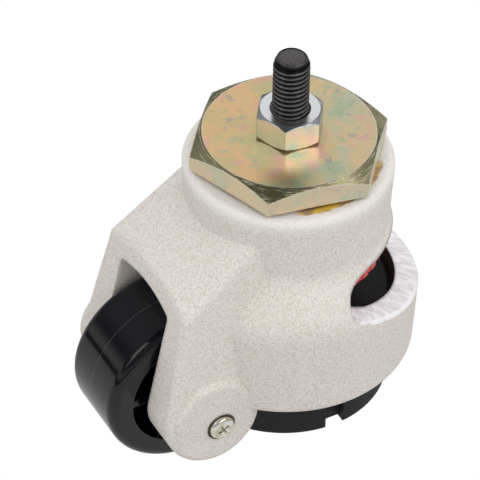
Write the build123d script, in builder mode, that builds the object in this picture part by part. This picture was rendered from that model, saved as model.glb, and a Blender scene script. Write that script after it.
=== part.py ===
"""Levelling castor: a swivel castor with a foot pad that a red thumb wheel winds down to the floor.

Origin on the swivel axis in the top face of the hexagonal plate, +Z up the stem. The castor wheel
trails towards -Y and its axle runs along X. All lengths in millimetres.
"""
import os
from math import acos, atan2, cos, degrees, hypot, radians, sin, sqrt

from build123d import *

# ---- clearances -----------------------------------------------------------------------------
RUN = 0.05          # radial running clearance of a shaft or thread in its bore
SEAT = 0.02         # radial clearance of pieces that are pressed or screwed together
GAP = 0.3           # open gap between pieces that move past each other

# ---- stem, lock nut and hexagonal plate --------------------------------------------------------
STEM_R = 5.0                 # M10
THREAD_R = 4.5               # pitch line, where the thread meets the nut and the plate
STEM_TOP = 25.4              # above the plate
STEM_TIP_R = 3.8
STEM_TIP_BEVEL = 2.6
NUT_AF = 17.0
NUT_HEIGHT = 8.0
NUT_TURN = 23.0              # degrees, a corner of the nut from +X
NUT_DISH_R, NUT_DISH = 5.6, 1.2      # countersink at the thread
NUT_FACE, NUT_BEVEL = 0.96, 1.0      # flat circle as a share of the flats, drop of the bevel
PLATE_AF = 49.0
PLATE_THICK = 6.9
PLATE_TURN = 19.0            # degrees, a corner of the plate from +X
PLATE_FACE_R = 23.8          # flat circle left by the turned bevel
PLATE_BEVEL_DROP = 2.7       # of the bevel at a corner
SHANK_R = 8.0                # king pin turned in one piece with the plate
SHANK_END = -25.2

# ---- swivel bearing ----------------------------------------------------------------------------
UPPER_BALL_R, UPPER_PITCH_R, UPPER_BALL_Z, UPPER_BALLS = 3.0, 18.5, -9.0, 18
LOWER_BALL_R, LOWER_PITCH_R, LOWER_BALL_Z, LOWER_BALLS = 2.0, 11.6, -18.3, 17
UPPER_CUP_TOP, UPPER_CUP_BOTTOM = -10.5, -13.0
UPPER_CUP_LIP = 1.5          # metal beyond the balls, inside and outside
UPPER_CUP_IN = UPPER_PITCH_R - UPPER_BALL_R - UPPER_CUP_LIP
UPPER_CUP_OUT = UPPER_PITCH_R + UPPER_BALL_R + UPPER_CUP_LIP
LOWER_CUP_TOP, LOWER_CUP_BOTTOM = -15.2, -17.3
SHANK_PLAY, LOWER_CUP_PLAY = 1.2, 1.4     # open room round the king pin
LOWER_CUP_LIP, LOWER_CONE_LIP = 1.0, 0.6  # metal beyond the balls
LOWER_CUP_IN = SHANK_R + LOWER_CUP_PLAY
LOWER_CUP_OUT = LOWER_PITCH_R + LOWER_BALL_R + LOWER_CUP_LIP
LOWER_CONE_TOP, LOWER_CONE_BOTTOM = -19.2, -21.2
LOWER_CONE_OUT = LOWER_PITCH_R + LOWER_BALL_R + LOWER_CONE_LIP
KING_NUT_AF, KING_NUT_HEIGHT, KING_NUT_BEVEL = 21.0, 3.9, 0.9

# ---- housing -----------------------------------------------------------------------------------
COLLAR_TOP = -8.2
COLLAR_R, NECK_R, NECK_Z = 29.1, 28.4, -27.5
SKIRT_TOP_R, SKIRT_TOP_Z = 37.9, -46.0
SKIRT_R, SKIRT_BOTTOM = 37.0, -71.3
COLLAR_ROUND, SKIRT_ROUND = 2.2, 1.4
CAVITY_R = 31.0
THUMB_ROOM_R, THUMB_ROOM_BOTTOM = 27.5, -40.4
WEB_TOP, WEB_BOTTOM = -28.0, -31.0
BEARING_ROOM_R, BEARING_ROOM_TOP = 18.5, -16.6
TRAIL = 36.2                 # swivel axis to axle
AXLE_Z = -70.3
CHEEK_R = 14.5               # rounded end of a cheek about the axle
CHEEK_IN = 13.7              # half the gap between the cheeks
CHEEK_OUT = 26.2             # half the width over the cheeks at the axle
BOSS_OUT = 26.8              # axle bosses, on both cheeks
BOSS_R, BOSS_DRAFT, BOSS_DEEP = 12.0, 1.8, 2.8   # drafted boss on the screw's side
BLIND_BOSS_R, BLIND_AHEAD, BLIND_BELOW = 14.0, 1.2, 2.4   # boss over the axle's blind end, off centre
BOSS_ROUND = 1.2
BROW_HALF = 22.2             # half the width of the fork at its front top edge
BROW_Y, BROW_Z = -42.9, -31.0        # middle of that edge
CREST_Y, CREST_Z = -28.2, -19.2      # middle of the line where the sloping top meets the collar
DOME = 3.5                           # rise of the top's middle over its side edges
FORK_ROUND = 2.0                     # edges of the front face and of the cheeks
BROW_ROUND, CREST_ROUND = 2.6, 4.5   # rounding of its side edges, growing towards the collar
MOUTH_Z = -39.2              # upper corners of the wheel opening, at the front
MOUTH_RISE, MOUTH_FALL, MOUTH_ROUND = 2.6, 0.267, 1.5   # arch, slope to the back, corners
MOUTH_START, MOUTH_END = -60.0, -20.0                   # its cut, from front to back
SLOT_HALF = 5.5              # axle slots in the cheeks, open downwards
SLOT_FLOOR = 21.7
RIB_HALF, RIB_DEEP, RIB_TOP = 2.5, 3.1, -47.5
WINDOW_FRONT = 0.4
WINDOW_TOP = -31.0
WINDOW_SILL_FRONT, WINDOW_SILL_SLOPE = -41.6, 0.335

# ---- thumb wheel and its spring ring ---------------------------------------------------------------
THUMB_R, THUMB_TOP, THUMB_BOTTOM = 27.0, -31.2, -39.6
THUMB_EDGE = 0.8
THUMB_GRIPS, GRIP_R, GRIP_OUT = 36, 1.6, 0.9     # round grip grooves, centred outside the edge
NECK_OUT, NECK_TOP = 15.0, -25.9
HUB_R, HUB_BOTTOM = 14.0, -46.0
CLIP_THICK, CLIP_OUT, CLIP_IN, CLIP_Z = 1.2, 17.0, 13.8, -27.3

# ---- foot pad ---------------------------------------------------------------------------------------
SPINDLE_R, SPINDLE_TOP = 10.0, -26.1
SPIGOT_R = 7.5
CARRIER_PLAY, CARRIER_TOP, CARRIER_BOTTOM = 1.8, -55.0, -62.0
PAD_PLAY, PAD_BOTTOM, PAD_EDGE = 0.7, -86.3, 0.8   # play round the pad in its room
NOTCH_PLAY = 0.6
PAD_SLOT_HALF, PAD_SLOT_END = 15.0, -8.3

# ---- wheel and axle --------------------------------------------------------------------------------
WHEEL_R, WHEEL_WIDTH = 25.0, 24.4
WHEEL_EDGE = 2.8
RIM_IN, HUB_OUT = 18.2, 11.0
RECESS = 8.0
SPOKES, SPOKE_THICK, SPOKE_SINK = 6, 2.2, 1.6
RIM_DRAFT, HUB_DRAFT = 0.8, 0.6
BUSH_R = 8.0
AXLE_R, AXLE_END = 5.5, 21.4
PIN_R, PIN_LONG = 2.5, 2.6  # spigot on the plain end of the axle
SCREW_Y, SCREW_Z = -34.6, -73.2
SCREW_R, SCREW_HEAD_R, SCREW_HEAD, SCREW_CROWN = 1.75, 3.65, 2.4, 1.1
SCREW_LONG, SCREW_HOLE = 14.0, 11.0  # shank, and its hole in the axle
SCREW_SINK = 0.9             # the head sits this deep in its spot face
SCREW_HEAD_PLAY, SCREW_PLAY = 0.5, 0.2
DRIVE_LONG, DRIVE_WIDE, DRIVE_DEEP = 3.6, 0.8, 1.5   # cross recess


def ring(r_in, r_out, bottom, top):
    """A plain ring about the swivel axis, added to the part being built."""
    with BuildSketch(Plane.XY.offset(bottom)) as face:
        Circle(r_out)
        if r_in:
            Circle(r_in, mode=Mode.SUBTRACT)
    extrude(face.sketch, amount=top - bottom)


def ring_cut(radius, bottom, top):
    """Cut a round hole about the swivel axis."""
    with BuildSketch(Plane.XY.offset(bottom)) as face:
        Circle(radius)
    extrude(face.sketch, amount=top - bottom, mode=Mode.SUBTRACT)


def ball_groove(pitch_r, ball_z, ball_r):
    """Cut the round groove that a row of balls runs in."""
    with BuildSketch(Plane.XZ) as groove:
        with Locations((pitch_r, ball_z)):
            Circle(ball_r + RUN)
    revolve(groove.sketch, axis=Axis.Z, mode=Mode.SUBTRACT)


def ball_row(pitch_r, ball_z, ball_r, count):
    with Locations((0, 0, ball_z)):
        with PolarLocations(pitch_r, count):
            Sphere(ball_r)


def hex_block(across_flats, bottom, height, turn):
    with BuildSketch(Plane.XY.offset(bottom)) as face:
        RegularPolygon(across_flats / sqrt(3), 6, rotation=turn)
    extrude(face.sketch, amount=height)


def bevel_cone(face_r, corner_r, top, drop, upward=True):
    """Trim the corners of a hexagon by a cone, as on a turned nut."""
    way = 1 if upward else -1
    slope = drop / (corner_r - face_r)
    reach = corner_r + 3
    with BuildSketch(Plane.XZ) as trim:
        with BuildLine():
            Polyline((face_r, top), (reach, top - way * slope * (reach - face_r)), (reach, top + way),
                     (face_r, top + way), close=True)
        make_face()
    revolve(trim.sketch, axis=Axis.Z, mode=Mode.SUBTRACT)


def across_x(x_from, x_to):
    """A sketch plane whose local axes are Y and Z, at x_from, extruded towards x_to."""
    return Plane(origin=(x_from, 0, 0), x_dir=(0, 1, 0), z_dir=(1, 0, 0)), x_to - x_from


# ---- fixed part: plate, stem, nut --------------------------------------------------------------------
with BuildPart() as hex_plate:
    hex_block(PLATE_AF, -PLATE_THICK, PLATE_THICK, PLATE_TURN)
    bevel_cone(PLATE_FACE_R, PLATE_AF / sqrt(3), 0, PLATE_BEVEL_DROP)
    ring(0, SHANK_R, SHANK_END, -PLATE_THICK)
    ring_cut(THREAD_R + SEAT, SHANK_END - 1, 1)
    ball_groove(UPPER_PITCH_R, UPPER_BALL_Z, UPPER_BALL_R)
hex_plate.part.label = "hex_plate"

with BuildPart() as stem:
    ring(0, THREAD_R, SHANK_END + 1, NUT_HEIGHT + GAP)
    ring(0, STEM_R, NUT_HEIGHT + GAP, STEM_TOP)
    with BuildSketch(Plane.XZ):
        with BuildLine():
            Polyline((STEM_TIP_R, STEM_TOP), (STEM_R + 1, STEM_TOP), (STEM_R + 1, STEM_TOP - STEM_TIP_BEVEL),
                     (STEM_R, STEM_TOP - STEM_TIP_BEVEL), close=True)
        make_face()
    revolve(axis=Axis.Z, mode=Mode.SUBTRACT)
stem.part.label = "stem"

with BuildPart() as lock_nut:
    hex_block(NUT_AF, 0, NUT_HEIGHT, NUT_TURN)
    bevel_cone(NUT_AF / 2 * NUT_FACE, NUT_AF / sqrt(3), NUT_HEIGHT, NUT_BEVEL)
    bevel_cone(NUT_AF / 2 * NUT_FACE, NUT_AF / sqrt(3), 0, NUT_BEVEL, upward=False)
    ring_cut(THREAD_R + SEAT, -1, NUT_HEIGHT + 1)
    with Locations((0, 0, NUT_HEIGHT)):
        Cone(THREAD_R, NUT_DISH_R, NUT_DISH, align=(Align.CENTER, Align.CENTER, Align.MAX),
             mode=Mode.SUBTRACT)
lock_nut.part.label = "lock_nut"

# ---- swivel bearing ---------------------------------------------------------------------------------
with BuildPart() as upper_balls:
    ball_row(UPPER_PITCH_R, UPPER_BALL_Z, UPPER_BALL_R, UPPER_BALLS)
upper_balls.part.label = "upper_balls"

with BuildPart() as lower_balls:
    ball_row(LOWER_PITCH_R, LOWER_BALL_Z, LOWER_BALL_R, LOWER_BALLS)
lower_balls.part.label = "lower_balls"

with BuildPart() as upper_cup:
    ring(UPPER_CUP_IN, UPPER_CUP_OUT, UPPER_CUP_BOTTOM, UPPER_CUP_TOP)
    ball_groove(UPPER_PITCH_R, UPPER_BALL_Z, UPPER_BALL_R)
upper_cup.part.label = "upper_cup"

with BuildPart() as lower_cup:
    ring(LOWER_CUP_IN, LOWER_CUP_OUT, LOWER_CUP_BOTTOM, LOWER_CUP_TOP)
    ball_groove(LOWER_PITCH_R, LOWER_BALL_Z, LOWER_BALL_R)
lower_cup.part.label = "lower_cup"

with BuildPart() as lower_cone:
    ring(SHANK_R + SEAT, LOWER_CONE_OUT, LOWER_CONE_BOTTOM, LOWER_CONE_TOP)
    ball_groove(LOWER_PITCH_R, LOWER_BALL_Z, LOWER_BALL_R)
lower_cone.part.label = "lower_cone"

with BuildPart() as king_nut:
    hex_block(KING_NUT_AF, LOWER_CONE_BOTTOM - KING_NUT_HEIGHT, KING_NUT_HEIGHT, 0)
    bevel_cone(KING_NUT_AF / 2 * NUT_FACE, KING_NUT_AF / sqrt(3), LOWER_CONE_BOTTOM - KING_NUT_HEIGHT,
               KING_NUT_BEVEL, upward=False)
    ring_cut(SHANK_R + SEAT, -40, 0)
king_nut.part.label = "king_nut"

# ---- housing ----------------------------------------------------------------------------------------
brow_slope = (CREST_Z - BROW_Z) / (CREST_Y - BROW_Y)
to_brow = degrees(atan2(BROW_Z - AXLE_Z, BROW_Y + TRAIL))
swing = degrees(acos(CHEEK_R / hypot(BROW_Z - AXLE_Z, BROW_Y + TRAIL)))
touch = radians(to_brow + swing)
front_touch = (-TRAIL + CHEEK_R * cos(touch), AXLE_Z + CHEEK_R * sin(touch))
back_touch = (-TRAIL + sqrt(CHEEK_R ** 2 - (AXLE_Z - SKIRT_BOTTOM) ** 2), SKIRT_BOTTOM)
flare = (CHEEK_OUT - BROW_HALF) / (BROW_Z - DOME - AXLE_Z)

with BuildPart() as fork:
    side, depth = across_x(-30, 30)
    with BuildSketch(side):
        with BuildLine():
            Polyline(front_touch, (BROW_Y, BROW_Z), (-23.5, BROW_Z + brow_slope * (-23.5 - BROW_Y)),
                     (-15, -24), (-15, SKIRT_BOTTOM), back_touch)
            ThreePointArc(back_touch, (-TRAIL, AXLE_Z - CHEEK_R), front_touch)
        make_face()
    extrude(amount=depth)
    with BuildPart(mode=Mode.INTERSECT):
        sections = []
        for y in (-54, -12):
            top = BROW_Z + brow_slope * (y - BROW_Y)
            edge = top - DOME
            half, foot = BROW_HALF + flare * (BROW_Z - top), BROW_HALF + flare * (BROW_Z - DOME + 90)
            rounding = BROW_ROUND + (CREST_ROUND - BROW_ROUND) * (y - BROW_Y) / (CREST_Y - BROW_Y)
            with BuildSketch(Plane.XZ.offset(-y)) as section:
                with BuildLine():
                    ThreePointArc((-half, edge), (0, top), (half, edge))
                    Polyline((half, edge), (foot, -90), (-foot, -90), (-half, edge))
                make_face()
                fillet([v for v in section.vertices() if v.Y > -89], radius=max(rounding, 0.3))
            sections.append(section.sketch)
        loft(sections, ruled=True)
    front = [e for e in fork.edges() if e.length > 0.5 and (e @ 0.5).Y < -42]
    cheeks = [e for e in fork.edges() if abs((e @ 0.5).X) > 20 and (e @ 0.5).Y < -37]
    fillet(front + [e for e in cheeks if e not in front], radius=FORK_ROUND)
fork.part.label = "fork"

with BuildPart() as housing:
    with BuildSketch(Plane.XZ):
        with BuildLine():
            wall_top = (COLLAR_R, COLLAR_TOP - COLLAR_ROUND)
            neck = (NECK_R, NECK_Z)
            shoulder = (SKIRT_TOP_R, SKIRT_TOP_Z)
            skirt_foot = (SKIRT_R, SKIRT_BOTTOM + SKIRT_ROUND)
            Polyline((SKIRT_R - SKIRT_ROUND, SKIRT_BOTTOM), (0, SKIRT_BOTTOM), (0, COLLAR_TOP),
                     (COLLAR_R - COLLAR_ROUND, COLLAR_TOP))
            RadiusArc((COLLAR_R - COLLAR_ROUND, COLLAR_TOP), wall_top, COLLAR_ROUND)
            Line(wall_top, neck)
            Spline(neck, (31.6, -33.2), (35.6, -38.0), shoulder, tangents=[(-0.03, -1), (-0.02, -1)])
            Line(shoulder, skirt_foot)
            RadiusArc(skirt_foot, (SKIRT_R - SKIRT_ROUND, SKIRT_BOTTOM), SKIRT_ROUND)
        make_face()
    revolve(axis=Axis.Z)
    add(fork.part)
    with BuildPart(mode=Mode.PRIVATE) as boss:
        with Locations((BOSS_OUT, -TRAIL, AXLE_Z)):
            Cone(BOSS_R + BOSS_DRAFT, BOSS_R, BOSS_DEEP, rotation=(0, 90, 0),
                 align=(Align.CENTER, Align.CENTER, Align.MAX))
        fillet(boss.edges().sort_by(Axis.X)[-1], radius=BOSS_ROUND)
    add(boss.part)
    with BuildPart(mode=Mode.PRIVATE) as blind_boss:
        with Locations((-BOSS_OUT, -TRAIL - BLIND_AHEAD, AXLE_Z - BLIND_BELOW)):
            Cylinder(BLIND_BOSS_R, BOSS_OUT - SLOT_FLOOR, rotation=(0, 90, 0),
                     align=(Align.CENTER, Align.CENTER, Align.MIN))
        fillet(blind_boss.edges().sort_by(Axis.X)[0], radius=BOSS_ROUND)
    add(blind_boss.part)
    # foot pad room, thumb wheel room and the window that opens it to the back and both sides
    step = CAVITY_R - THUMB_ROOM_R
    with BuildSketch(Plane.XZ) as room:
        with BuildLine():
            Polyline((0, WEB_BOTTOM), (THUMB_ROOM_R, WEB_BOTTOM), (THUMB_ROOM_R, THUMB_ROOM_BOTTOM),
                     (CAVITY_R, THUMB_ROOM_BOTTOM - step), (CAVITY_R, SKIRT_BOTTOM - 20),
                     (0, SKIRT_BOTTOM - 20), close=True)
        make_face()
    revolve(room.sketch, axis=Axis.Z, mode=Mode.SUBTRACT)
    side, depth = across_x(-60, 60)
    with BuildSketch(side) as window:
        with BuildLine():
            sill_back = WINDOW_SILL_FRONT - WINDOW_SILL_SLOPE * 60
            nose = (WINDOW_FRONT, WINDOW_TOP - 6.4)
            brow = (WINDOW_FRONT + 10.5, WINDOW_TOP - 0.5)
            sill = (WINDOW_FRONT + 2.4, WINDOW_SILL_FRONT - 0.6)
            Polyline(brow, (22, WINDOW_TOP), (60, WINDOW_TOP), (60, sill_back), sill)
            Spline(sill, nose, brow, tangents=[(-1, 0.35), (0.95, 0.1)])
        make_face()
    extrude(window.sketch, amount=depth, mode=Mode.SUBTRACT)
    # web, bearing room and seats of the two race rings
    ring_cut(NECK_OUT + RUN, WEB_BOTTOM - 1, WEB_TOP + 1)
    ring_cut(BEARING_ROOM_R, WEB_TOP, BEARING_ROOM_TOP)
    ring_cut(LOWER_CUP_OUT + SEAT, BEARING_ROOM_TOP - 1, LOWER_CUP_TOP)
    ring_cut(SHANK_R + SHANK_PLAY, LOWER_CUP_TOP - 1, UPPER_CUP_BOTTOM + 1)
    ring_cut(UPPER_CUP_OUT + SEAT, UPPER_CUP_BOTTOM, COLLAR_TOP + 1)
    # arched wheel opening between the cheeks, falling to the back
    with BuildSketch(Plane.XZ.offset(-MOUTH_START)) as mouth:
        with BuildLine():
            corner = MOUTH_Z + MOUTH_FALL * (BROW_Y - MOUTH_START)
            ThreePointArc((-CHEEK_IN, corner), (0, corner + MOUTH_RISE), (CHEEK_IN, corner))
            Polyline((CHEEK_IN, corner), (CHEEK_IN, -120), (-CHEEK_IN, -120), (-CHEEK_IN, corner))
        make_face()
        fillet([v for v in mouth.vertices() if v.Y > -100], radius=MOUTH_ROUND)
    extrude(mouth.sketch, amount=(MOUTH_END - MOUTH_START) * hypot(1, MOUTH_FALL), dir=(0, 1, -MOUTH_FALL),
            mode=Mode.SUBTRACT)
    # axle slots, open downwards so that the wheel lifts in from below
    side, depth = across_x(-SLOT_FLOOR, SLOT_FLOOR)
    with BuildSketch(side) as slot:
        with Locations((-TRAIL, AXLE_Z)):
            Circle(SLOT_HALF + RUN)
            Rectangle(2 * (SLOT_HALF + RUN), 30, align=(Align.CENTER, Align.MAX))
    extrude(slot.sketch, amount=depth, mode=Mode.SUBTRACT)
    with Locations((BOSS_OUT, SCREW_Y, SCREW_Z)):
        Cylinder(SCREW_HEAD_R + SCREW_HEAD_PLAY, 2 * SCREW_SINK, rotation=(0, 90, 0), mode=Mode.SUBTRACT)
        Cylinder(SCREW_R + SCREW_PLAY, 12, rotation=(0, 90, 0), mode=Mode.SUBTRACT)
    with Locations((-SLOT_FLOOR, -TRAIL, AXLE_Z)):
        Cylinder(PIN_R + RUN, 2 * PIN_LONG + 0.4, rotation=(0, 90, 0), mode=Mode.SUBTRACT)
    # ribs that key the foot pad
    for way in (1, -1):
        with BuildPart(mode=Mode.PRIVATE) as rib:
            with Locations((way * (CAVITY_R + 1 - RIB_DEEP / 2), 0, RIB_TOP)):
                Box(RIB_DEEP + 2, 2 * RIB_HALF, RIB_TOP - SKIRT_BOTTOM - 0.4,
                    align=(Align.CENTER, Align.CENTER, Align.MAX))
        add(rib.part)
housing.part.label = "housing"

# ---- thumb wheel and its spring ring ----------------------------------------------------------------
with BuildPart() as thumb_wheel:
    with BuildSketch(Plane.XZ) as section:
        with BuildLine():
            Polyline((SPINDLE_R + RUN, NECK_TOP), (NECK_OUT, NECK_TOP),
                     (NECK_OUT, CLIP_Z + CLIP_THICK / 2 + SEAT),
                     (CLIP_IN, CLIP_Z + CLIP_THICK / 2 + SEAT), (CLIP_IN, CLIP_Z - CLIP_THICK / 2 - SEAT),
                     (NECK_OUT, CLIP_Z - CLIP_THICK / 2 - SEAT), (NECK_OUT, THUMB_TOP),
                     (THUMB_R - THUMB_EDGE, THUMB_TOP), (THUMB_R, THUMB_TOP - THUMB_EDGE),
                     (THUMB_R, THUMB_BOTTOM + THUMB_EDGE), (THUMB_R - THUMB_EDGE, THUMB_BOTTOM),
                     (HUB_R, THUMB_BOTTOM), (HUB_R, HUB_BOTTOM), (SPINDLE_R + RUN, HUB_BOTTOM), close=True)
        make_face()
    revolve(section.sketch, axis=Axis.Z)
    with BuildSketch(Plane.XY.offset(THUMB_BOTTOM)) as grips:
        with PolarLocations(THUMB_R + GRIP_OUT, THUMB_GRIPS):
            Circle(GRIP_R)
    extrude(grips.sketch, amount=THUMB_TOP - THUMB_BOTTOM, mode=Mode.SUBTRACT)
thumb_wheel.part.label = "thumb_wheel"

with BuildPart() as spring_ring:
    ring(CLIP_IN + SEAT, CLIP_OUT, CLIP_Z - CLIP_THICK / 2, CLIP_Z + CLIP_THICK / 2)
    with Locations((0, -CLIP_OUT, CLIP_Z)):
        Box(5, 12, 2 * CLIP_THICK, mode=Mode.SUBTRACT)
spring_ring.part.label = "spring_ring"

# ---- foot pad -----------------------------------------------------------------------------------------
with BuildPart() as spindle:
    ring(0, SPINDLE_R, CARRIER_TOP, SPINDLE_TOP)
    ring(0, SPIGOT_R, CARRIER_BOTTOM + 0.5, CARRIER_TOP)
    chamfer(spindle.edges().group_by(Axis.Z)[-1], length=1.2)
spindle.part.label = "spindle"


def pad_outline(play):
    """Round disc with some play in its room, cut away for the wheel, with a notch for each rib."""
    Circle(CAVITY_R - play)
    with Locations((0, PAD_SLOT_END)):
        Rectangle(2 * PAD_SLOT_HALF, 2 * CAVITY_R, align=(Align.CENTER, Align.MAX), mode=Mode.SUBTRACT)
    for way in (1, -1):
        with Locations((way * CAVITY_R, 0)):
            Rectangle(2 * (RIB_DEEP + NOTCH_PLAY), 2 * (RIB_HALF + GAP), mode=Mode.SUBTRACT)


with BuildPart() as pad_carrier:
    with BuildSketch(Plane.XY.offset(CARRIER_BOTTOM)):
        pad_outline(CARRIER_PLAY)
        Circle(SPIGOT_R + SEAT, mode=Mode.SUBTRACT)
    extrude(amount=CARRIER_TOP - CARRIER_BOTTOM)
pad_carrier.part.label = "pad_carrier"

with BuildPart() as foot_pad:
    with BuildSketch(Plane.XY.offset(PAD_BOTTOM)):
        pad_outline(PAD_PLAY)
    extrude(amount=CARRIER_BOTTOM - PAD_BOTTOM)
    chamfer(foot_pad.faces().sort_by(Axis.Z)[0].edges(), length=PAD_EDGE)
foot_pad.part.label = "foot_pad"

# ---- wheel and axle -------------------------------------------------------------------------------------
with BuildPart() as wheel:
    half = WHEEL_WIDTH / 2
    with BuildSketch(Plane.XY) as section:
        with BuildLine():
            Polyline((-half, HUB_OUT), (-half, BUSH_R + SEAT), (half, BUSH_R + SEAT), (half, HUB_OUT),
                     (half - RECESS, HUB_OUT + HUB_DRAFT), (half - RECESS, RIM_IN - RIM_DRAFT),
                     (half, RIM_IN), (half, WHEEL_R - WHEEL_EDGE))
            RadiusArc((half, WHEEL_R - WHEEL_EDGE), (half - WHEEL_EDGE, WHEEL_R), -WHEEL_EDGE)
            Line((half - WHEEL_EDGE, WHEEL_R), (WHEEL_EDGE - half, WHEEL_R))
            RadiusArc((WHEEL_EDGE - half, WHEEL_R), (-half, WHEEL_R - WHEEL_EDGE), -WHEEL_EDGE)
            Polyline((-half, WHEEL_R - WHEEL_EDGE), (-half, RIM_IN), (RECESS - half, RIM_IN - RIM_DRAFT),
                     (RECESS - half, HUB_OUT + HUB_DRAFT), (-half, HUB_OUT))
        make_face()
    revolve(section.sketch, axis=Axis.X)
    for turn in range(SPOKES):
        with BuildPart(mode=Mode.PRIVATE) as spoke:
            Box(WHEEL_WIDTH - 2 * SPOKE_SINK, RIM_IN - HUB_OUT + 1, SPOKE_THICK,
                align=(Align.CENTER, Align.MIN, Align.CENTER))
        add(spoke.part.moved(Location((0, HUB_OUT - 0.5, 0))).rotate(Axis.X, 360 / SPOKES * turn))
wheel.part = wheel.part.moved(Location((0, -TRAIL, AXLE_Z)))
wheel.part.label = "wheel"

with BuildPart() as bush:
    with Locations((0, -TRAIL, AXLE_Z)):
        Cylinder(BUSH_R, 2 * (CHEEK_IN - GAP), rotation=(0, 90, 0))
        Cylinder(AXLE_R + RUN, 60, rotation=(0, 90, 0), mode=Mode.SUBTRACT)
bush.part.label = "bush"

with BuildPart() as axle:
    with Locations((0, -TRAIL, AXLE_Z)):
        Cylinder(AXLE_R, 2 * AXLE_END, rotation=(0, 90, 0))
    with Locations((-AXLE_END, -TRAIL, AXLE_Z)):
        Cylinder(PIN_R, 2 * PIN_LONG, rotation=(0, 90, 0))
    with Locations((AXLE_END, SCREW_Y, SCREW_Z)):
        Cylinder(SCREW_R + SEAT, 2 * SCREW_HOLE, rotation=(0, 90, 0), mode=Mode.SUBTRACT)
axle.part.label = "axle"

with BuildPart() as axle_screw:
    seat = BOSS_OUT - SCREW_SINK
    with Locations((seat, SCREW_Y, SCREW_Z)):
        Cylinder(SCREW_HEAD_R, SCREW_HEAD, rotation=(0, 90, 0), align=(Align.CENTER, Align.CENTER, Align.MIN))
        Cylinder(SCREW_R, SCREW_LONG, rotation=(0, 90, 0), align=(Align.CENTER, Align.CENTER, Align.MAX))
    top = [e for e in axle_screw.edges() if abs(e.center().X - seat - SCREW_HEAD) < 0.01]
    fillet(top, radius=SCREW_CROWN)
    with Locations((seat + SCREW_HEAD, SCREW_Y, SCREW_Z)):
        for turn in (30, 120):
            Box(2 * DRIVE_DEEP, DRIVE_LONG, DRIVE_WIDE, rotation=(turn, 0, 0), mode=Mode.SUBTRACT)
axle_screw.part.label = "axle_screw"

os.makedirs("parts", exist_ok=True)
for piece in (hex_plate, stem, lock_nut, upper_balls, lower_balls, upper_cup, lower_cup, lower_cone, king_nut,
              housing, thumb_wheel, spring_ring, spindle, pad_carrier, foot_pad, wheel, bush, axle,
              axle_screw):
    export_step(piece.part, f"parts/{piece.part.label}.step")
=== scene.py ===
"""Looks of a levelling castor: powder-coated die-cast housing, yellow zinc plate, black nylon wheel.

Metres. The swivel axis is Z, the wheel trails towards -Y and its axle runs along X.
"""
import math

import bpy
from mathutils import Matrix, Vector


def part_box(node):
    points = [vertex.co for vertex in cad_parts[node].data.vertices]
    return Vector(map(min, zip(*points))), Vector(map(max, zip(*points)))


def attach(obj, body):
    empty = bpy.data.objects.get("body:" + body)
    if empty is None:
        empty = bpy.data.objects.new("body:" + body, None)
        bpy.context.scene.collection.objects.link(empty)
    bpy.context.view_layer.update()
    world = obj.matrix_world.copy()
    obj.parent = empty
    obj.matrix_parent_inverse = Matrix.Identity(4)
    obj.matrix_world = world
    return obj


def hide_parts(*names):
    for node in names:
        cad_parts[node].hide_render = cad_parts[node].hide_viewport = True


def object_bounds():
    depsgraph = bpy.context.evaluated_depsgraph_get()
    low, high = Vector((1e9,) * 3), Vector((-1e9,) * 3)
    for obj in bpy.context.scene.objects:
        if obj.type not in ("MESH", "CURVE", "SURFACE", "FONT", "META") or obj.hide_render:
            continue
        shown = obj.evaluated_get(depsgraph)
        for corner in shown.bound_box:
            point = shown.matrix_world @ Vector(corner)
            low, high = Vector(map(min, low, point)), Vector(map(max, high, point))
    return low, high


MM = 0.001
WHITE = (1.0, 1.0, 1.0)
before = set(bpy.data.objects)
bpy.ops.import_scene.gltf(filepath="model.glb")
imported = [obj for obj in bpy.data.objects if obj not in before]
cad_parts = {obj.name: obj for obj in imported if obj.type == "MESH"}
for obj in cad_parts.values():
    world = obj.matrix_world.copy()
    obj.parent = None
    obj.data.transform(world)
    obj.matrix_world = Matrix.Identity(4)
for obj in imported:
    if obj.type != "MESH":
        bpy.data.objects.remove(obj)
cad_low, cad_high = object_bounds()


# ---- shader maths ------------------------------------------------------------------------------
class Value:
    """A number, colour or vector inside a finish, so that shader maths reads as plain expressions."""

    def __init__(self, paint, socket):
        self.paint, self.socket = paint, socket

    def _math(self, what, *others):
        return self.paint.node("ShaderNodeMath", {"operation": what},
                               dict(enumerate((self,) + others)))[0]

    def __add__(self, other):
        return self._math("ADD", other)

    def __sub__(self, other):
        return self._math("SUBTRACT", other)

    def __mul__(self, other):
        return self._math("MULTIPLY", other)

    __radd__ = __add__
    __rmul__ = __mul__

    def __rsub__(self, other):
        return self * -1 + other

    def __gt__(self, other):
        return self._math("GREATER_THAN", other)

    def __lt__(self, other):
        return self._math("LESS_THAN", other)

    def __abs__(self):
        return self._math("ABSOLUTE")

    def root(self):
        return self._math("SQRT")

    def larger(self, other):
        return self._math("MAXIMUM", other)

    def angle(self, other):
        """Radians round an axis, where self is the sine's side and other the cosine's."""
        return self._math("ARCTAN2", other)

    def ramp(self, start, end):
        """0 at start and before it, 1 at end and beyond, smooth between; start may be the larger."""
        return self.paint.node("ShaderNodeMapRange", {"interpolation_type": "SMOOTHSTEP"},
                               {0: self, 1: start, 2: end})[0]


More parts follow.
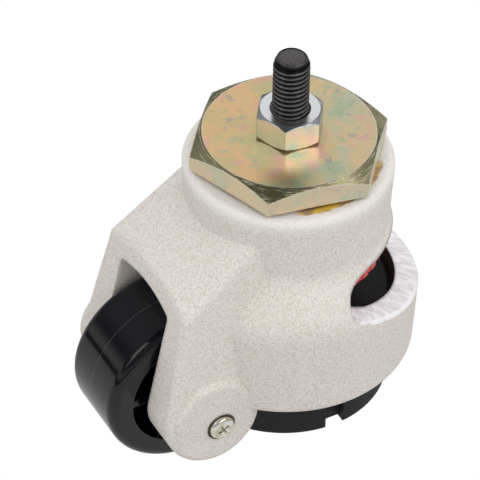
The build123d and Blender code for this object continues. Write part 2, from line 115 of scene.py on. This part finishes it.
class Paint:
    """One finish being mixed: a material, or the world with its Background shader."""

    def __init__(self, name, shelf=bpy.data.materials, shader="Principled BSDF"):
        self.owner = shelf.new(name)
        self.owner.use_nodes = True
        self.tree = self.owner.node_tree
        self.surface = self.tree.nodes[shader]
        self.coords = self.node("ShaderNodeTexCoord")

    def node(self, kind, settings=None, inputs=None):
        """Adds a node; inputs take plain values or Values. Returns its outputs, by name or number."""
        made = self.tree.nodes.new(kind)
        for key, value in (settings or {}).items():
            setattr(made, key, value)
        for key, value in (inputs or {}).items():
            self.feed(made.inputs[key], value)
        outputs = {output.name: Value(self, output) for output in made.outputs}
        outputs.update((i, Value(self, output)) for i, output in enumerate(made.outputs))
        return outputs

    def feed(self, socket, value):
        if isinstance(value, Value):
            self.tree.links.new(value.socket, socket)
        elif socket.type == "RGBA":
            socket.default_value = (*value, 1.0)
        else:
            socket.default_value = value

    def set(self, **looks):
        """Feeds the shader's sockets, such as Base_Color."""
        for name, value in looks.items():
            self.feed(self.surface.inputs[name.replace("_", " ")], value)

    def put_on(self, *names):
        """Gives the named CAD nodes this finish."""
        for name in names:
            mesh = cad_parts[name].data
            mesh.materials.clear()
            mesh.materials.append(self.owner)

    def place(self, origin=(0, 0, 0)):
        """X, Y and Z of the point being shaded, measured from origin."""
        parts = self.node("ShaderNodeSeparateXYZ", {}, {0: self.coords["Object"]})
        return [parts[i] - origin[i] if origin[i] else parts[i] for i in range(3)]

    def shifted(self, *by):
        """The point being shaded, moved, so that two patterns of one kind don't fall together."""
        return self.node("ShaderNodeVectorMath", {"operation": "ADD"}, {0: self.coords["Object"], 1: by})[0]

    def join(self, x, y, z):
        return self.node("ShaderNodeCombineXYZ", {}, {0: x, 1: y, 2: z})[0]

    def noise(self, size, detail=2.0, rough=0.5, where=None, warp=0.0):
        """Soft random pattern, 0 to 1, with blotches about size across."""
        return self.node("ShaderNodeTexNoise", {}, {
            "Vector": self.coords["Object"] if where is None else where, "Scale": 1 / size,
            "Detail": detail, "Roughness": rough, "Distortion": warp})["Fac"]

    def blend(self, amount, first, second):
        """A colour between two others."""
        return self.node("ShaderNodeMix", {"data_type": "RGBA"}, {0: amount, 6: first, 7: second})[2]

    def layered(self, colour, *layers):
        """A colour with others laid over it in turn, each given as its amount and the colour."""
        for amount, over in layers:
            colour = self.blend(amount, colour, over)
        return colour

    def soft_edges(self, radius):
        return self.node("ShaderNodeBevel", {"samples": 8}, {"Radius": radius})["Normal"]

    def relief(self, height, depth, normal=None):
        """Bump of the given height pattern, depth in metres."""
        inputs = {"Height": height, "Distance": depth, "Strength": 1.0}
        if normal is not None:
            inputs["Normal"] = normal
        return self.node("ShaderNodeBump", {}, inputs)["Normal"]


def distance(across, along):
    """How far a point is from an axis, from its two coordinates square to that axis."""
    return (across * across + along * along).root()


def middle(node):
    low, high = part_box(node)
    return (low + high) / 2


# ---- powder coat of the housing ------------------------------------------------------------------
CREAM, COLLAR_HIGHLIGHT = (0.77, 0.74, 0.70), (0.88, 0.86, 0.84)
FLECK_BROWN, BLUSH_PINK, CLOUD_GREY = (0.45, 0.365, 0.29), (0.76, 0.65, 0.60), (0.64, 0.62, 0.59)
# painted shade: the dark colours of the wall behind the window and of the screw's spot face
CAVITY_SHADE, SPOT_FACE_SHADE = (0.09, 0.065, 0.05), (0.15, 0.125, 0.10)
GREASE_BROWN, GREASE_AMBER = (0.36, 0.17, 0.01), (0.72, 0.48, 0.05)
GROUND_DULL, GROUND_BRIGHT = (0.70, 0.69, 0.72), (0.99, 0.98, 1.0)
FLECK_SIZE, BLUSH_SIZE, CLOUD_SIZE = 0.46 * MM, 1.1 * MM, 9 * MM
DIMPLE_SIZE, DIMPLE_DEPTH, COAT_EDGE_R = 1.0 * MM, 0.12 * MM, 1.6 * MM
SMEAR_SIZE, SMEAR_REACH, SPECK_SIZE = 3 * MM, 1.6 * MM, 1.6 * MM
COLLAR_LOW, COLLAR_TOP = -14 * MM, -9.6 * MM    # between them the coat is painted lighter towards the top, a painted highlight on the collar
CAVITY_R, CAVITY_FRONT, CAVITY_TOP = 31.4 * MM, 12 * MM, -31.5 * MM    # wall behind the window, painted dark as shade
# the coat round the screw, in its spot face, is painted dark as shade
SPOT_FACE_R, SPOT_FACE_X = 4.35 * MM, 20 * MM
SILL_AT, SILL_SLOPE = -41.25 * MM, 0.341    # the sill's height on the swivel axis and its fall to the back
SILL_FRONT, SILL_HALF = 2.0 * MM, 0.10 * MM
LIP_FRONT, LIP_DROP, LIP_R = 1.5 * MM, 0.55 * MM, 36.7 * MM    # where the sill's outer edge gets a painted highlight in white specks
LIP_FADE = (22 * MM, 34 * MM)    # the painted highlight dies out towards the back
STROKES_ROUND, STROKES_OUT, STROKES_UP = 22, 260, 120    # grinding strokes per radian and per metre
GREASE_Z, GREASE_R, GREASE_FRINGE = -9.4 * MM, 26.2 * MM, 0.6 * MM
GREASE_START, GREASE_END = (-0.50, -0.34), (0.85, 1.05)    # radians round the swivel axis


def hammered_coat():
    """Flecked powder coat; the window's sill is ground bare, and grease has crept onto the collar. Painted
    light: a painted highlight on the collar, painted shade on the wall behind the window and in the screw's
    spot face, and painted highlight specks along the sill's outer edge.
    """
    coat = Paint("hammered_coat")
    x, y, z = coat.place()
    out, round_axis = distance(x, y), y.angle(x)

    fleck = coat.noise(FLECK_SIZE, detail=2.5, rough=0.6, warp=1.4).ramp(0.47, 0.59)
    blush = coat.noise(BLUSH_SIZE, detail=1.0, where=coat.shifted(0.03, 0, 0)).ramp(0.50, 0.70)
    cloud = coat.noise(CLOUD_SIZE, detail=1.0)
    # painted highlight: the collar is painted lighter towards its top
    collar = z.ramp(COLLAR_LOW, COLLAR_TOP)

    above_sill = z + y * SILL_SLOPE - SILL_AT
    bare = (abs(above_sill) < SILL_HALF) * (y > SILL_FRONT)
    # painted shade: the inner wall behind the window is painted dark brown
    cavity_shade = (out < CAVITY_R) * (y > CAVITY_FRONT) * (z < CAVITY_TOP) * (1 - bare)
    # painted shade: a dark ring round the screw in its spot face
    screw_y, screw_z = middle("axle_screw")[1:]
    spot_face_shade = (distance(y - screw_y, z - screw_z) < SPOT_FACE_R) * (x > SPOT_FACE_X)

    smear = coat.noise(SMEAR_SIZE, detail=3.0)
    crept = (out + smear * SMEAR_REACH).ramp(GREASE_R, GREASE_R + GREASE_FRINGE)
    grease = (round_axis.ramp(*GREASE_START) * (1 - round_axis.ramp(*GREASE_END)) * (z > GREASE_Z)
              * (1 - crept))
    amber = coat.blend(smear.ramp(0.40, 0.60), GREASE_BROWN, GREASE_AMBER)

    brushed = coat.join(round_axis * STROKES_ROUND, out * STROKES_OUT, z * STROKES_UP)
    strokes = coat.noise(1.0, detail=3.0, rough=0.65, where=brushed)
    ground = coat.blend(strokes.ramp(0.3, 0.72), GROUND_DULL, GROUND_BRIGHT)
    # painted highlight: white specks along the sill's outer edge, fading towards the back
    highlight_specks = coat.noise(SPECK_SIZE, detail=3.0, where=coat.shifted(0, 0.06, 0)).ramp(0.40, 0.50)
    sill_edge_highlight = ((above_sill > -LIP_DROP) * (above_sill < SILL_HALF) * (y > LIP_FRONT)
           * (1 - y.ramp(*LIP_FADE)) * (out > LIP_R) * highlight_specks)
    dimple = coat.noise(DIMPLE_SIZE, detail=2.0, rough=0.6, warp=0.4)
    colour = coat.layered(CREAM, (fleck * 0.66, FLECK_BROWN), (blush * 0.30, BLUSH_PINK),
                          (cloud * 0.20, CLOUD_GREY), (collar * 0.45, COLLAR_HIGHLIGHT),
                          (cavity_shade * 0.92, CAVITY_SHADE), (spot_face_shade * 0.9, SPOT_FACE_SHADE),
                          (grease * (0.45 + smear * 0.9), amber), (bare, ground), (sill_edge_highlight, WHITE))
    coat.set(Base_Color=colour, Metallic=bare * 0.10, Specular_IOR_Level=0.40,
             Roughness=0.46 + fleck * 0.12 - bare * 0.04 - grease * 0.22 - sill_edge_highlight * 0.2,
             Normal=coat.relief(dimple * (1 - bare) + strokes * bare * 2.2, DIMPLE_DEPTH,
                                coat.soft_edges(COAT_EDGE_R)))
    return coat


hammered_coat().put_on("housing")

# ---- yellow zinc of the hexagonal plate ----------------------------------------------------------
STRAW, OLIVE, FILM_GREEN = (0.84, 0.57, 0.30), (0.66, 0.60, 0.31), (0.56, 0.63, 0.50)
TINT_GREEN, TINT_ROSE, WORN_GREY = (0.44, 0.56, 0.38), (0.84, 0.48, 0.40), (0.40, 0.40, 0.40)
GRAIN_ROSE, GRAIN_OLIVE = (0.95, 0.62, 0.50), (0.52, 0.52, 0.26)
# painted light: a highlight ring, a reflection on the flats and a highlight line under the bevel
RING_HIGHLIGHT, FLAT_REFLECTION, ARRIS_HIGHLIGHT = (0.94, 0.86, 0.84), (1.0, 0.94, 0.74), (1.0, 0.98, 0.92)
TURNED_DARK, TURNED_BRIGHT = (0.60, 0.55, 0.31), (1.0, 0.96, 0.74)
PATCH_SIZE, TINT_SIZE, WORN_SIZE, GRAIN_SIZE, PIT_SIZE = 12 * MM, 7 * MM, 4.8 * MM, 0.7 * MM, 0.5 * MM
FACE_R, BEVEL_SLOPE = 23.8 * MM, 0.6    # the plate's round face, and the fall of the turned bevel
FLAT_TOP, FACE_EDGE = -0.3 * MM, 0.02 * MM
RING_LOW, RING_HALF = -0.5 * MM, 0.20 * MM    # painted highlight ring where face and bevel meet
ARRIS_LOW, ARRIS_HIGH = -0.25 * MM, -0.06 * MM    # painted highlight line under the bevel, measured from its cone
ARRIS_TOP = -0.4 * MM
GREEN_X, GREEN_Y, GREEN_FADE = 0.35, 0.94, (-6 * MM, 22 * MM)    # the side on which the film ran green
MARKS_OUT, MARKS_ROUND = 2400, 3.5    # turning marks per metre and per radian


def yellow_zinc():
    """Passivated zinc: a film of many tints, turning marks on the bevel, flats painted paler as a painted
    reflection, and painted highlight lines round the face and under the bevel.
    """
    zinc = Paint("yellow_zinc")
    x, y, z = zinc.place()
    out = distance(x, y)
    past_face = out - FACE_R
    on_bevel = (z > past_face * -BEVEL_SLOPE + ARRIS_HIGH) * (out > FACE_R + FACE_EDGE)
    # the flats are painted paler, a painted reflection of the housing and the table
    on_flat = (z < FLAT_TOP) * (1 - on_bevel)

    over_cone = past_face * BEVEL_SLOPE + z
    # painted highlight: a pale line where the bevel meets the flats
    arris_highlight = (over_cone > ARRIS_LOW) * (over_cone < ARRIS_HIGH) * (z < ARRIS_TOP)
    # painted highlight: a pale ring round the edge of the plate's face
    face_ring_highlight = (abs(past_face) < RING_HALF) * (z > RING_LOW)

    patches = zinc.noise(PATCH_SIZE, detail=2.0, warp=0.8)
    green_side = (x * GREEN_X + y * GREEN_Y + (patches - 0.5) * 0.03).ramp(*GREEN_FADE)
    tint = zinc.noise(TINT_SIZE, detail=3.0, rough=0.6, where=zinc.shifted(0.04, 0.02, 0))
    worn = zinc.noise(WORN_SIZE, detail=4.0, rough=0.65, where=zinc.shifted(-0.07, 0, 0.03))
    grain = zinc.noise(GRAIN_SIZE, detail=2.0, where=zinc.shifted(0, -0.05, 0))
    film = zinc.layered(STRAW, (patches.ramp(0.36, 0.62), OLIVE),
                        (green_side * (0.35 + patches.ramp(0.42, 0.58) * 0.40), FILM_GREEN),
                        (tint.ramp(0.54, 0.66) * 0.75, TINT_GREEN),
                        (tint.ramp(0.46, 0.34) * 0.75, TINT_ROSE),
                        (worn.ramp(0.605, 0.66) * 0.6, WORN_GREY), (face_ring_highlight * 0.55, RING_HIGHLIGHT),
                        (grain.ramp(0.55, 0.68) * 0.30, GRAIN_ROSE),
                        (grain.ramp(0.45, 0.33) * 0.30, GRAIN_OLIVE),
                        (on_flat * 0.45, FLAT_REFLECTION), (arris_highlight * 0.85, ARRIS_HIGHLIGHT))

    marks = zinc.join(out * MARKS_OUT, y.angle(x) * MARKS_ROUND, 0.0)
    turned = zinc.noise(1.0, detail=3.0, rough=0.8, where=marks)
    streaks = turned.ramp(0.50, 0.68)
    bevel = zinc.blend(streaks, TURNED_DARK, TURNED_BRIGHT)
    pitting = zinc.noise(PIT_SIZE, detail=2.0) * (1 - on_bevel) * 0.5
    zinc.set(Base_Color=zinc.blend(on_bevel, film, bevel), Metallic=1.0,
             Roughness=0.30 + patches * 0.12 + on_bevel * (streaks * 0.34 - 0.10),
             Normal=zinc.relief(pitting + turned * on_bevel * 0.9, 0.03 * MM, zinc.soft_edges(0.25 * MM)))
    return zinc


yellow_zinc().put_on("hex_plate")

# ---- plain metals ----------------------------------------------------------------------------------
ZINC_BRIGHT, STEEL_GREY = (0.77, 0.78, 0.80), (0.58, 0.58, 0.60)
NICKEL_DULL, NICKEL_BRIGHT = (0.70, 0.66, 0.48), (0.98, 0.97, 0.88)


def bright_zinc():
    zinc = Paint("bright_zinc")
    zinc.set(Base_Color=ZINC_BRIGHT, Metallic=1.0, Roughness=0.16 + zinc.noise(2 * MM, 3.0) * 0.16,
             Normal=zinc.relief(zinc.noise(0.6 * MM), 0.01 * MM, zinc.soft_edges(0.3 * MM)))
    return zinc


def ground_steel():
    steel = Paint("ground_steel")
    steel.set(Base_Color=STEEL_GREY, Metallic=1.0, Roughness=0.22 + steel.noise(1.5 * MM, 3.0) * 0.2,
              Normal=steel.relief(steel.noise(0.3 * MM), 0.005 * MM))
    return steel


def yellow_nickel():
    nickel = Paint("yellow_nickel")
    tarnish = nickel.noise(2.2 * MM).ramp(0.35, 0.62)
    nickel.set(Base_Color=nickel.blend(tarnish, NICKEL_DULL, NICKEL_BRIGHT),
               Metallic=0.90, Roughness=0.24, Normal=nickel.soft_edges(0.25 * MM))
    return nickel


bright_zinc().put_on("lock_nut")
ground_steel().put_on("upper_balls", "lower_balls", "upper_cup", "lower_cup", "lower_cone", "spring_ring",
                      "spindle", "bush", "axle")
yellow_nickel().put_on("axle_screw")

# ---- black oxide stem with its real thread --------------------------------------------------------
# painted highlight: mottled lighter colours for the thread's crests and end face
OXIDE_BLACK, HIGHLIGHT_DARK, HIGHLIGHT_PALE = (0.006, 0.006, 0.007), (0.07, 0.067, 0.067), (0.34, 0.32, 0.31)
CREST_LOW, CREST_HIGH = 4.55 * MM, 5.0 * MM    # the flank's outer part, painted lighter as a highlight on the crests
TIP_LOW, TIP_HIGH = 24.4 * MM, 25.2 * MM    # the end face, painted lighter as well
THREAD_FROM, THREAD_PITCH, THREAD_DEPTH = 6.4 * MM, 1.5 * MM, 0.85 * MM
THREAD_STEPS = 72
THREAD_PROFILE = (    # share of the pitch, share of the depth
    (0.0, 1.0), (0.10, 1.0), (0.42, 0.0), (0.60, 0.0), (0.92, 1.0))
TIP_R, TIP_BEVEL, TIP_CURVE = 3.8 * MM, 2.6 * MM, 0.6    # end face, bevel's height and its bulge
TIP_SUNK, TIP_DOME, TIP_STEPS = 0.02 * MM, 0.25 * MM, 48
TIP_RINGS = (1.0, 0.9, 0.7, 0.4)    # rings of the end face, as shares of TIP_R


def black_oxide():
    oxide = Paint("black_oxide")
    x, y, z = oxide.place()
    # painted highlight: the thread's crests and the end face are painted lighter, mottled
    crest_and_tip_highlight = distance(x, y).ramp(CREST_LOW, CREST_HIGH).larger(z.ramp(TIP_LOW, TIP_HIGH) * 0.45)
    highlight_mottle = oxide.blend(oxide.noise(0.9 * MM, 3.0), HIGHLIGHT_DARK, HIGHLIGHT_PALE)
    oxide.set(Base_Color=oxide.blend(crest_and_tip_highlight, OXIDE_BLACK, highlight_mottle), Metallic=0.7,
              Roughness=0.30 + oxide.noise(0.8 * MM) * 0.12)
    return oxide


def make_piece(name, verts, faces, paint):
    """A mesh object of one finish."""
    mesh = bpy.data.meshes.new(name)
    mesh.from_pydata(verts, [], faces)
    mesh.validate()
    mesh.materials.append(paint.owner)
    piece = bpy.data.objects.new(name, mesh)
    bpy.context.scene.collection.objects.link(piece)
    return piece


def on_ring(radius, step, steps, height):
    """One of a number of even steps round the swivel axis."""
    spin = 2 * math.pi * step / steps
    return radius * math.cos(spin), radius * math.sin(spin), height


def stem_thread(high, radius, paint):
    """One helical skin from the lock nut to the tip, with a bevelled end."""
    profile, around = THREAD_PROFILE, THREAD_STEPS
    rows = (int((high - THREAD_FROM) / THREAD_PITCH) + 2) * len(profile)
    verts, faces = [], []
    for row in range(rows):
        turn, part = divmod(row, len(profile))
        phase, rise = profile[part]
        for step in range(around):
            climb = (turn - 1 + phase + step / around) * THREAD_PITCH
            height = min(max(THREAD_FROM + climb, THREAD_FROM), high)
            below_tip = min(max((high - height) / TIP_BEVEL, 0), 1)
            bevel = TIP_R + (radius - TIP_R) * below_tip ** TIP_CURVE
            verts.append(on_ring(min(radius - THREAD_DEPTH * (1 - rise), bevel), step, around, height))
    for row in range(rows - 1):
        for step in range(around):
            here = row * around + step
            there = here + 1
            if step == around - 1:    # the helix closes on the next turn
                if row + len(profile) + 1 >= rows:
                    continue
                there = (row + len(profile)) * around
            faces.append((here, there, there + around, here + around))
    return make_piece("stem_thread", verts, faces, paint)


def stem_tip(high, paint):
    """Slightly domed end face of the stem."""
    top = high - TIP_SUNK
    verts = [on_ring(TIP_R * share, step, TIP_STEPS, top - TIP_DOME * share ** 4)
             for share in TIP_RINGS for step in range(TIP_STEPS)]
    verts.append((0, 0, top))
    faces = []
    for ring in range(len(TIP_RINGS)):
        for step in range(TIP_STEPS):
            here, there = ring * TIP_STEPS + step, ring * TIP_STEPS + (step + 1) % TIP_STEPS
            if ring < len(TIP_RINGS) - 1:
                faces.append((here, there, there + TIP_STEPS, here + TIP_STEPS))
            else:
                faces.append((here, there, len(verts) - 1))
    return make_piece("stem_tip", verts, faces, paint)


oxide = black_oxide()
oxide.put_on("king_nut")
stem_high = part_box("stem")[1]
for piece in (stem_thread(stem_high.z, stem_high.x, oxide), stem_tip(stem_high.z, oxide)):
    for face in piece.data.polygons:
        face.use_smooth = True
    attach(piece, "mount")
    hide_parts("stem")

# ---- moulded pieces --------------------------------------------------------------------------------
NYLON_BLACK, SCUFF_GREY = (0.004, 0.004, 0.006), (0.10, 0.10, 0.11)
SEAM_HALF, TREAD_R = 0.13 * MM, 24 * MM    # the seam shows only on the tread
HAZE_SIZE, SCUFF_SIZE, RIPPLE_SIZE = 5 * MM, 0.9 * MM, 2.2 * MM
SATIN_BLACK, RUBBER_GREY = (0.005, 0.005, 0.006), (0.010, 0.010, 0.011)
RED_DEEP, RED_LIGHT = (0.56, 0.03, 0.035), (0.66, 0.05, 0.05)


def black_nylon():
    """Glossy moulding with a parting seam round the tread and a few scuffs."""
    nylon = Paint("black_nylon")
    x, y, z = nylon.place(middle("bush"))
    seam = (abs(x) < SEAM_HALF) * (distance(y, z) > TREAD_R)
    haze = nylon.noise(HAZE_SIZE, detail=3.0)
    scuffs = nylon.noise(SCUFF_SIZE, detail=5.0, rough=0.75, warp=2.0).ramp(0.66, 0.74)
    scuffs = scuffs * haze.ramp(0.52, 0.62)
    ripple = nylon.noise(RIPPLE_SIZE, 1.0) * 0.25
    nylon.set(Base_Color=nylon.blend(seam * 0.35 + scuffs * 0.8, NYLON_BLACK, SCUFF_GREY),
              Roughness=0.06 + haze * 0.12, Specular_IOR_Level=0.42, Coat_Weight=0.15, Coat_Roughness=0.08,
              Normal=nylon.relief(ripple + seam * 0.8 - scuffs * 0.5, 0.05 * MM, nylon.soft_edges(0.5 * MM)))
    return nylon


def black_carrier():
    carrier = Paint("black_carrier")
    carrier.set(Base_Color=SATIN_BLACK, Specular_IOR_Level=0.25,
                Roughness=0.42 + carrier.noise(3 * MM, 3.0) * 0.12,
                Normal=carrier.relief(carrier.noise(0.3 * MM), 0.012 * MM, carrier.soft_edges(0.4 * MM)))
    return carrier


def black_rubber():
    rubber = Paint("black_rubber")
    rubber.set(Base_Color=rubber.blend(rubber.noise(4 * MM, 3.0), SATIN_BLACK, RUBBER_GREY),
               Specular_IOR_Level=0.34, Roughness=0.50 + rubber.noise(3 * MM, 3.0) * 0.14,
               Normal=rubber.relief(rubber.noise(0.35 * MM, 3.0), 0.02 * MM, rubber.soft_edges(0.6 * MM)))
    return rubber


def red_plastic():
    red = Paint("red_plastic")
    red.set(Base_Color=red.blend(red.noise(6 * MM), RED_DEEP, RED_LIGHT), Roughness=0.34,
            Normal=red.relief(red.noise(0.4 * MM), 0.01 * MM, red.soft_edges(0.3 * MM)))
    return red


black_nylon().put_on("wheel")
black_carrier().put_on("pad_carrier")
black_rubber().put_on("foot_pad")
red_plastic().put_on("thumb_wheel")

# ---- table ---------------------------------------------------------------------------------------
TABLE_HALF, TABLE_GREY, TABLE_GLEAM = 0.34, (0.60, 0.60, 0.60), 0.62


def white_table():
    """White to the eye, a little darker where metal mirrors it, and pale grey to all other light."""
    table = Paint("white_table")
    table.set(Base_Color=TABLE_GREY, Roughness=0.9, Specular_IOR_Level=0.1)
    ray = table.node("ShaderNodeLightPath")
    seen = ray["Is Camera Ray"].larger(ray["Is Transmission Ray"])
    mirrored = ray["Is Glossy Ray"] * (1 - seen)
    glow = table.node("ShaderNodeEmission", {}, {"Color": WHITE, "Strength": seen + mirrored * TABLE_GLEAM})
    plain = Value(table, table.surface.outputs[0])
    mixed = table.node("ShaderNodeMixShader", {}, {0: seen.larger(mirrored), 1: plain, 2: glow[0]})
    table.feed(table.tree.nodes["Material Output"].inputs["Surface"], mixed[0])
    return table


corners = [(x * TABLE_HALF, y * TABLE_HALF, cad_low.z) for x, y in ((-1, -1), (1, -1), (1, 1), (-1, 1))]
floor = make_piece("floor", corners, [(0, 1, 2, 3)], white_table())

# ---- camera ----------------------------------------------------------------------------------------
AZIMUTH, ELEVATION, ROLL = math.radians(60.05), math.radians(41.77), math.radians(1.375)
AIM, EYE_AWAY, LENS, SENSOR = Vector((0.0, -0.0146, -0.0337)), 0.889, 241.97, 36.0
NEAR, FAR = 0.01, 20.0


def heading(azimuth, elevation):
    """Unit vector towards an azimuth, which runs from -Y towards +X, and an elevation."""
    return Vector((math.sin(azimuth) * math.cos(elevation), -math.cos(azimuth) * math.cos(elevation),
                   math.sin(elevation)))


back = heading(AZIMUTH, ELEVATION)
across = Vector((math.cos(AZIMUTH), math.sin(AZIMUTH), 0))
upward = back.cross(across)
right = across * math.cos(ROLL) + upward * math.sin(ROLL)
up = upward * math.cos(ROLL) - across * math.sin(ROLL)
camera = bpy.data.cameras.new("camera")
camera.lens, camera.sensor_width, camera.clip_start, camera.clip_end = LENS, SENSOR, NEAR, FAR
eye = bpy.data.objects.new("camera", camera)
eye.matrix_world = (Matrix.Translation(AIM + back * EYE_AWAY)
                    @ Matrix((right, up, back)).transposed().to_4x4())
bpy.context.scene.collection.objects.link(eye)
bpy.context.scene.camera = eye
bpy.context.scene.view_settings.view_transform = "Standard"

# ---- lamps and surroundings ------------------------------------------------------------------------
LAMP_AWAY = 1.0
SOFTBOXES = (    # name, degrees to the camera's right, degrees above the horizon, width, height, radiance
    ("far_panel", 180, 40, 0.80, 0.80, 0.62),
    ("key", -70, 40, 0.40, 0.40, 1.1),
    ("strip", -58, 36, 0.05, 0.70, 5.0),
    ("camera_side", 36, 44, 0.50, 0.50, 2.0),
    ("right_window", 75, 46, 0.45, 0.45, 1.7),
)


def softbox(name, turn, rise, width, height, radiance):
    """A rectangular lamp that faces the castor."""
    lamp = bpy.data.lights.new(name, "AREA")
    lamp.shape = "RECTANGLE"
    lamp.size, lamp.size_y, lamp.energy = width, height, radiance * math.pi * width * height
    towards = heading(AZIMUTH + math.radians(turn), math.radians(rise))
    box = bpy.data.objects.new(name, lamp)
    box.matrix_world = (Matrix.Translation(AIM + towards * LAMP_AWAY)
                        @ towards.to_track_quat("Z", "Y").to_matrix().to_4x4())
    bpy.context.scene.collection.objects.link(box)


def studio_walls():
    """White to the eye; metal mirrors a pale horizon, a dark band, paler walls and a darker ceiling."""
    sky = Paint("studio", bpy.data.worlds, "Background")
    ray = sky.node("ShaderNodeLightPath")
    climb = sky.node("ShaderNodeSeparateXYZ", {}, {0: sky.coords["Generated"]})["Z"]
    dark_band, walls, ceiling = climb.ramp(0.08, 0.28), climb.ramp(0.30, 0.55), climb.ramp(0.72, 0.88)
    mirrored = climb.ramp(-0.05, 0.05) * (0.58 - dark_band * 0.48 + walls * 0.15 - ceiling * 0.22)
    ambient = 0.66 + climb.ramp(-0.2, 1.0) * 0.26
    strength = mirrored * ray["Is Glossy Ray"] + ambient * (1 - ray["Is Glossy Ray"])
    sky.set(Color=WHITE, Strength=strength.larger(ray["Is Camera Ray"]))
    return sky


for settings in SOFTBOXES:
    softbox(*settings)
bpy.context.scene.world = studio_walls().owner
